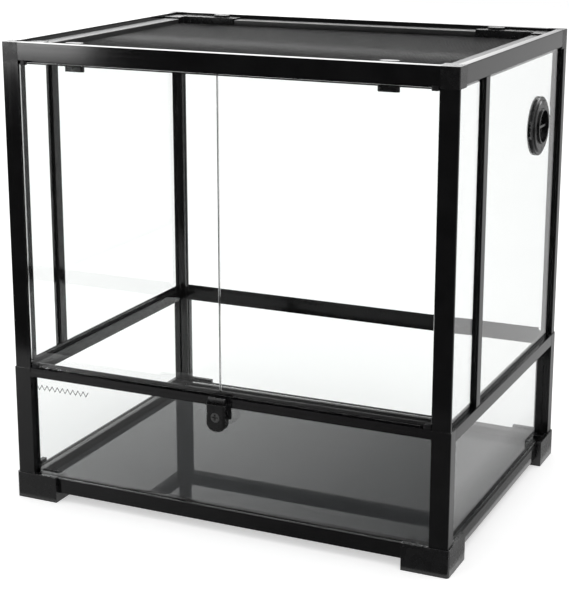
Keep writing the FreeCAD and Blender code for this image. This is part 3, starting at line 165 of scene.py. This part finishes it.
def anodised(name, axis, rough, ior):
    """Black anodising, with the die lines of the extrusion along one axis."""
    material, tree, shader = new_material(name)
    lines = pattern(tree, DIE_LINE, EXTRUDED[axis])
    tint(tree, shader, pattern(tree, ANODISED_CLOUD), ANODISED_COLOURS)
    tree.links.new(spread(tree, lines, rough - DIE_LINE_ROUGH, rough + DIE_LINE_ROUGH),
                   shader.inputs["Roughness"])
    roughen(tree, shader, lines, DIE_LINE_DEPTH)
    set_shader(shader, IOR=ior)
    return material


def moulded(name, colours, rough):
    """Injection-moulded plastic with a fine spark-eroded grain."""
    material, tree, shader = new_material(name)
    cloud = pattern(tree, MOULD_CLOUD)
    tint(tree, shader, cloud, colours)
    tree.links.new(spread(tree, cloud, rough - MOULD_CLOUD_ROUGH, rough + MOULD_CLOUD_ROUGH),
                   shader.inputs["Roughness"])
    roughen(tree, shader, pattern(tree, MOULD_GRAIN), MOULD_GRAIN_DEPTH)
    set_shader(shader, IOR=PLASTIC_IOR)
    return material


def turned_steel(name, colours):
    material, tree, shader = new_material(name)
    turned = pattern(tree, TURNED_GRAIN)
    tint(tree, shader, turned, colours)
    tree.links.new(spread(tree, turned, *TURNED_ROUGH), shader.inputs["Roughness"])
    set_shader(shader, Metallic=TURNED_METALLIC)
    return material


def screen_wire():
    """Black enamelled wire."""
    material, tree, shader = new_material("screen_wire")
    enamel = pattern(tree, WIRE_CLOUD)
    tint(tree, shader, enamel, WIRE_COLOURS)
    tree.links.new(spread(tree, enamel, *WIRE_ROUGH), shader.inputs["Roughness"])
    set_shader(shader, Specular_IOR_Level=WIRE_SPECULAR)
    return material


def clear_glass():
    """Float glass; rays from lamps pass straight through it."""
    material, tree, shader = new_material("clear_glass")
    set_shader(shader, Base_Color=GLASS_COLOUR, Roughness=0, IOR=GLASS_IOR, Transmission_Weight=1)
    path = tree.nodes.new("ShaderNodeLightPath")
    through = tree.nodes.new("ShaderNodeBsdfTransparent")
    through.inputs["Color"].default_value = GLASS_SHADOW
    mix = tree.nodes.new("ShaderNodeMixShader")
    tree.links.new(path.outputs["Is Shadow Ray"], mix.inputs["Fac"])
    tree.links.new(shader.outputs["BSDF"], mix.inputs[1])
    tree.links.new(through.outputs["BSDF"], mix.inputs[2])
    tree.links.new(mix.outputs["Shader"], tree.nodes["Material Output"].inputs["Surface"])
    return material


def floor_glass():
    """Dark back-painted glass, polished, with faint wiping marks."""
    material, tree, shader = new_material("floor_glass")
    marks = pattern(tree, WIPE_MARK, WIPE_STRETCH)
    tint(tree, shader, marks, FLOOR_GLASS_COLOURS)
    tree.links.new(spread(tree, marks, *FLOOR_GLASS_ROUGH), shader.inputs["Roughness"])
    set_shader(shader, IOR=FLOOR_GLASS_IOR)
    return material


def printed_ink():
    material, tree, shader = new_material("printed_ink")
    tint(tree, shader, pattern(tree, INK_GRAIN), INK_COLOURS)
    set_shader(shader, Roughness=INK_ROUGH)
    return material


ALUMINIUM = {axis: anodised("anodised_" + axis, axis, FRAME_ROUGH, FRAME_IOR) for axis in EXTRUDED}
MATERIALS = {
    "black_plastic": moulded("black_plastic", PLASTIC_COLOURS, PLASTIC_ROUGH),
    "natural_plastic": moulded("natural_plastic", BUSH_COLOURS, BUSH_ROUGH),
    "dark_steel": turned_steel("blackened_steel", BLACKENED_COLOURS),
    "black_mesh": screen_wire(),
    "clear_glass": clear_glass(),
    "dark_glass": floor_glass(),
}
FINISHES = {
    "lid_rails": anodised("anodised_lid", "x", LID_ROUGH, LID_IOR),
    "lock_cylinder": turned_steel("plated_steel", PLATED_COLOURS),
}

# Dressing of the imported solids

EDGE_ROUND = 0.35 * MM
SLOT_ROUNDS = {"black_aluminium": 0.7 * MM, "black_plastic": 0.5 * MM}
NODE_ROUNDS = {"lid_rails": 1 * MM, "lid_corners": 1 * MM}
EDGE_STEPS = 2
EDGE_ANGLE = math.radians(40)
WELD_REACH = 0.001 * MM


def long_axis(node):
    low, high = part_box(node)
    size = high - low
    return "xyz"[max(range(3), key=lambda index: size[index])]


def dress(node):
    """The node's material, and edges broken by a small round."""
    piece = NODES[node]
    slot = SLOTS[node]
    plain = ALUMINIUM[long_axis(node)] if slot == "black_aluminium" else MATERIALS[slot]
    piece.data.materials.clear()
    piece.data.materials.append(FINISHES.get(node, plain))
    weld = piece.modifiers.new("weld", "WELD")
    weld.merge_threshold = WELD_REACH
    edge = piece.modifiers.new("edge", "BEVEL")
    edge.width = NODE_ROUNDS.get(node, SLOT_ROUNDS.get(slot, EDGE_ROUND))
    edge.segments = EDGE_STEPS
    edge.limit_method = "ANGLE"
    edge.angle_limit = EDGE_ANGLE
    piece.modifiers.new("shade", "WEIGHTED_NORMAL")


for node in NODES:
    dress(node)

# Pieces of the scene


def add_piece(name, points, faces, material, body, smooth=False):
    mesh = bpy.data.meshes.new(name)
    mesh.from_pydata(points, [], faces)
    mesh.polygons.foreach_set("use_smooth", [smooth] * len(faces))
    mesh.materials.append(material)
    piece = bpy.data.objects.new(name, mesh)
    bpy.context.scene.collection.objects.link(piece)
    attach(piece, body)
    return piece


SCREEN_PITCH = 4.2 * MM
SCREEN_WIRE = 0.9 * MM
WIRE_SIDES = 6
X_AXIS, Y_AXIS = Vector((1, 0, 0)), Vector((0, 1, 0))


def make_screen():
    """Two crossing layers of round wire in the lid's groove."""
    low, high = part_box("lid_mesh")
    middle = (low + high) / 2
    points = []
    faces = []

    def wire(start, along, length):
        side = Vector((along.y, along.x, 0))
        first = len(points)
        for end in (0, length):
            for index in range(WIRE_SIDES):
                turn = 2 * math.pi * index / WIRE_SIDES
                ring = side * math.cos(turn) + Vector((0, 0, math.sin(turn)))
                points.append(start + along * end + ring * SCREEN_WIRE / 2)
        for index in range(WIRE_SIDES):
            following = (index + 1) % WIRE_SIDES
            faces.append((first + index, first + following,
                          first + WIRE_SIDES + following, first + WIRE_SIDES + index))
        faces.append(tuple(first + index for index in reversed(range(WIRE_SIDES))))
        faces.append(tuple(first + WIRE_SIDES + index for index in range(WIRE_SIDES)))

    size = high - low
    for along, across, lift in ((X_AXIS, Y_AXIS, -SCREEN_WIRE / 2),
                                (Y_AXIS, X_AXIS, SCREEN_WIRE / 2)):
        room = size.dot(across) - SCREEN_PITCH
        count = int(room / SCREEN_PITCH) + 1
        begin = Vector((low.x, low.y, middle.z + lift)) + across * (size.dot(across) - room) / 2
        for index in range(count):
            wire(begin + across * room * index / (count - 1), along, size.dot(along))
    piece = add_piece("lid_screen", points, faces, MATERIALS["black_mesh"], "lid", smooth=True)
    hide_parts("lid_mesh")


make_screen()

FILL_LINE_X, FILL_LINE_Z = -0.271, 0.1525
FILL_LINE_LENGTH = 78 * MM
FILL_LINE_WAVES = 10
FILL_LINE_HEIGHT = 6.5 * MM
FILL_LINE_WIDTH = 1.6 * MM
FILL_LINE_THICK = 0.05 * MM


def make_fill_line():
    """A plain zig-zag line printed on the lower front pane."""
    face_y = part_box("lower_glass_front")[0].y
    points = []
    count = 2 * FILL_LINE_WAVES + 1
    for index in range(count):
        x = FILL_LINE_X + FILL_LINE_LENGTH * index / (count - 1)
        z = FILL_LINE_Z + FILL_LINE_HEIGHT / 2 * (-1) ** index
        for y in (face_y, face_y - FILL_LINE_THICK):
            points.append((x, y, z - FILL_LINE_WIDTH / 2))
            points.append((x, y, z + FILL_LINE_WIDTH / 2))
    faces = []
    sides = ((0, 1), (1, 3), (3, 2), (2, 0))
    for index in range(count - 1):
        base = 4 * index
        faces += [(base + a, base + b, base + 4 + b, base + 4 + a) for a, b in sides]
    faces += [(0, 2, 3, 1), tuple(4 * (count - 1) + corner for corner in (0, 1, 3, 2))]
    piece = add_piece("fill_line", points, faces, printed_ink(), "frame")


make_fill_line()

# Studio: floor, world and lamp

FLOOR_SIZE = 14
FLOOR_COLOUR = 0.8
FLOOR_LIFT = 0.5
SKY_LIGHT = 0.88
TOP_LIGHT = 0.3
TOP_LIGHT_SIZE = 3.0
TOP_LIGHT_HEIGHT = 2.4
WHITE = (1, 1, 1, 1)


def joined(tree, operation, first, second):
    node = tree.nodes.new("ShaderNodeMath")
    node.operation = operation
    for socket, value in zip(node.inputs, (first, second)):
        if isinstance(value, (int, float)):
            socket.default_value = value
        else:
            tree.links.new(value, socket)
    return node.outputs[0]


def shown(tree, plain, seen):
    """A strength for rays that show the background: from the camera, off gloss, through glass."""
    path = tree.nodes.new("ShaderNodeLightPath")
    direct = joined(tree, "MAXIMUM", path.outputs["Is Camera Ray"], path.outputs["Is Glossy Ray"])
    showing = joined(tree, "MAXIMUM", direct, path.outputs["Is Transmission Ray"])
    return joined(tree, "ADD", joined(tree, "MULTIPLY", showing, seen - plain), plain)


def make_world():
    world = bpy.data.worlds.new("studio")
    world.use_nodes = True
    tree = world.node_tree
    sky = tree.nodes["Background"]
    sky.inputs["Color"].default_value = WHITE
    tree.links.new(shown(tree, SKY_LIGHT, 1), sky.inputs["Strength"])
    bpy.context.scene.world = world


def level(z, x0, x1, y0, y1):
    """Corners of a lying sheet."""
    return [(x0, y0, z), (x1, y0, z), (x1, y1, z), (x0, y1, z)]


def across(y, x0, x1, z0, z1):
    """Corners of a standing sheet that faces along Y."""
    return [(x0, y, z0), (x1, y, z0), (x1, y, z1), (x0, y, z1)]


def stage_sheet(name, corners, material):
    mesh = bpy.data.meshes.new(name)
    mesh.from_pydata(corners, [], [tuple(range(len(corners)))])
    mesh.materials.append(material)
    sheet = bpy.data.objects.new(name, mesh)
    bpy.context.scene.collection.objects.link(sheet)
    return sheet


def make_floor():
    """White floor that keeps the shadow."""
    material, tree, shader = new_material("studio_floor")
    set_shader(shader, Base_Color=(FLOOR_COLOUR, FLOOR_COLOUR, FLOOR_COLOUR, 1), Roughness=1,
               Specular_IOR_Level=0, Emission_Color=WHITE)
    tree.links.new(shown(tree, 0, FLOOR_LIFT), shader.inputs["Emission Strength"])
    half = FLOOR_SIZE / 2
    stage_sheet("floor", level(0, -half, half, -half, half), material)


def make_top_light():
    lamp = bpy.data.lights.new("softbox", "AREA")
    lamp.shape = "SQUARE"
    lamp.size = TOP_LIGHT_SIZE
    lamp.energy = TOP_LIGHT * math.pi * TOP_LIGHT_SIZE ** 2
    softbox = bpy.data.objects.new("softbox", lamp)
    softbox.location = (0, 0, TOP_LIGHT_HEIGHT)
    bpy.context.scene.collection.objects.link(softbox)


# Studio: cards that show in reflections alone; they paint reflections, highlights and shade on the
# object and light nothing

SIDE = 5
# Places of the sheets that paint reflections and shade on the object
CARD_Z = 0.002
FRONT_FLOOR_SHADE_END_Y = -0.75
NEAR_FLOOR_LIGHT_END_Y = -0.225
SIDE_FLOOR_SHADE_X = 0.305
SIDE_FLOOR_SHADE_Y = (-0.2, 6.4)
FRONT_SHADE_TOP = 3
HIGHLIGHT_STRIP_Y = -3.8
HIGHLIGHT_STRIP_X = (-4, -2.41)
HIGHLIGHT_STRIP_Z = (0.072, 1.6)
TOP_CARD_Z = 2.2
CEILING_REFLECTION_SIDE = 6
CEILING_REFLECTION_EDGE_Y = 5.8
TOP_SHEEN_Y = (1.6, 3.4)
WALL_REFLECTION_Y = 6.5
WALL_REFLECTION_SIDE = 6.5
WALL_REFLECTION_TOP = 2.3

# Painted shade: the floor ahead shows nearly black in reflections only
FRONT_FLOOR_SHADE_GLOW = 0.03
# Painted shade: a black sheet in front, seen in reflections only
FRONT_SHADE_GLOW = 0
# Painted highlight: a bright strip at the front left, seen in reflections only
HIGHLIGHT_STRIP_GLOW = 7
# Painted sheen: a bright sheet above, seen off gloss only, not through the panes
TOP_SHEEN_GLOW = 7
# A glow that fades along X: the first place and its glow, the second place and its glow; these
# paint light stronger to the left and shade next to the object
# Painted light: the near floor in reflections, lighter to the left
NEAR_FLOOR_LIGHT_FADE = (-0.6, 0.6, 0.1, 0.1)
# Painted shade: the floor right of the object, darker next to it, in reflections only
SIDE_FLOOR_SHADE_FADE = (0.3, 0.28, 0.36, 0.72)
# Painted reflection overhead, with painted light stronger to the left
CEILING_REFLECTION_FADE = (-3.6, 1.35, -1.2, 0.25)
# Painted reflection of a far wall, with painted light stronger to the left
WALL_REFLECTION_FADE = (-2.4, 2.4, -0.8, 0.3)


def fading(tree, first_x, first_glow, second_x, second_glow):
    place = tree.nodes.new("ShaderNodeNewGeometry")
    split = tree.nodes.new("ShaderNodeSeparateXYZ")
    tree.links.new(place.outputs["Position"], split.inputs["Vector"])
    return mapped(tree, split.outputs["X"], (first_x, second_x, first_glow, second_glow))


def make_card(name, corners, glow, behind_panes=True):
    """A sheet that shows in reflections alone, in front of the panes or behind them too; a painted
    reflection that lights nothing.
    """
    material = bpy.data.materials.new(name)
    material.use_nodes = True
    tree = material.node_tree
    path = tree.nodes.new("ShaderNodeLightPath")
    clear = tree.nodes.new("ShaderNodeBsdfTransparent")
    light = tree.nodes.new("ShaderNodeEmission")
    if isinstance(glow, tuple):
        tree.links.new(fading(tree, *glow), light.inputs["Strength"])
    else:
        light.inputs["Strength"].default_value = glow
    mix = tree.nodes.new("ShaderNodeMixShader")
    mirrored = joined(tree, "MINIMUM", path.outputs["Glossy Depth"], 1)
    if not behind_panes:
        mirrored = joined(tree, "GREATER_THAN", mirrored, path.outputs["Transmission Depth"])
    tree.links.new(mirrored, mix.inputs["Fac"])
    tree.links.new(clear.outputs["BSDF"], mix.inputs[1])
    tree.links.new(light.outputs["Emission"], mix.inputs[2])
    tree.links.new(mix.outputs["Shader"], tree.nodes["Material Output"].inputs["Surface"])
    card = stage_sheet(name, corners, material)
    card.visible_camera = False
    card.visible_diffuse = False
    card.visible_shadow = False


def make_cards():
    """Painted reflections: sheets on the floor, a dark sheet in front with a lit strip before it,
    a lit sheet above, an overhead sheet and a far wall.
    """
    # Painted shade: the floor ahead, nearly black, in reflections only
    make_card("painted_front_floor_shade", level(CARD_Z, -SIDE, SIDE, -SIDE, FRONT_FLOOR_SHADE_END_Y), FRONT_FLOOR_SHADE_GLOW)
    # Painted light: the near floor, lighter to the left, in reflections only
    make_card("painted_near_floor_light", level(CARD_Z, -SIDE, SIDE, FRONT_FLOOR_SHADE_END_Y, NEAR_FLOOR_LIGHT_END_Y),
              NEAR_FLOOR_LIGHT_FADE)
    # Painted shade: a black sheet in front, seen in reflections only
    make_card("painted_front_shade", across(-SIDE, -SIDE, SIDE, CARD_Z, FRONT_SHADE_TOP), FRONT_SHADE_GLOW)
    # Painted highlight: a bright strip at the front left, seen in reflections only
    make_card("painted_highlight_strip", across(HIGHLIGHT_STRIP_Y, *HIGHLIGHT_STRIP_X, *HIGHLIGHT_STRIP_Z), HIGHLIGHT_STRIP_GLOW)
    # Painted shade: the floor right of the object, darker next to it, in reflections only
    make_card("painted_side_floor_shade", level(CARD_Z, SIDE_FLOOR_SHADE_X, SIDE, *SIDE_FLOOR_SHADE_Y), SIDE_FLOOR_SHADE_FADE)
    # Painted sheen: a bright sheet above, seen off gloss only, not through the panes
    make_card("painted_top_sheen", level(TOP_CARD_Z, -SIDE, SIDE, *TOP_SHEEN_Y), TOP_SHEEN_GLOW, behind_panes=False)
    # Painted reflection overhead, lighter to the left, in reflections only
    make_card("painted_ceiling_reflection", level(TOP_CARD_Z, -CEILING_REFLECTION_SIDE, CEILING_REFLECTION_SIDE, TOP_SHEEN_Y[1], CEILING_REFLECTION_EDGE_Y),
              CEILING_REFLECTION_FADE)
    # Painted reflection of a far wall, lighter to the left, in reflections only
    make_card("painted_wall_reflection", across(WALL_REFLECTION_Y, -WALL_REFLECTION_SIDE, WALL_REFLECTION_SIDE, CARD_Z, WALL_REFLECTION_TOP), WALL_REFLECTION_FADE)


# Camera

CAMERA_PLACE = (0.8351, -1.838, 0.8164)
CAMERA_TURN = 0.4321
CAMERA_PITCH = 0.2487
CAMERA_LENS = 94.39
CAMERA_SHIFT = -0.067


def make_camera():
    lens = bpy.data.cameras.new("camera")
    lens.lens = CAMERA_LENS
    lens.shift_y = CAMERA_SHIFT
    camera = bpy.data.objects.new("camera", lens)
    camera.location = CAMERA_PLACE
    camera.rotation_euler = (math.pi / 2 - CAMERA_PITCH, 0, CAMERA_TURN)
    bpy.context.scene.collection.objects.link(camera)
    bpy.context.scene.camera = camera


make_world()
make_floor()
make_cards()
make_top_light()
make_camera()
bpy.context.scene.view_settings.view_transform = "Standard"
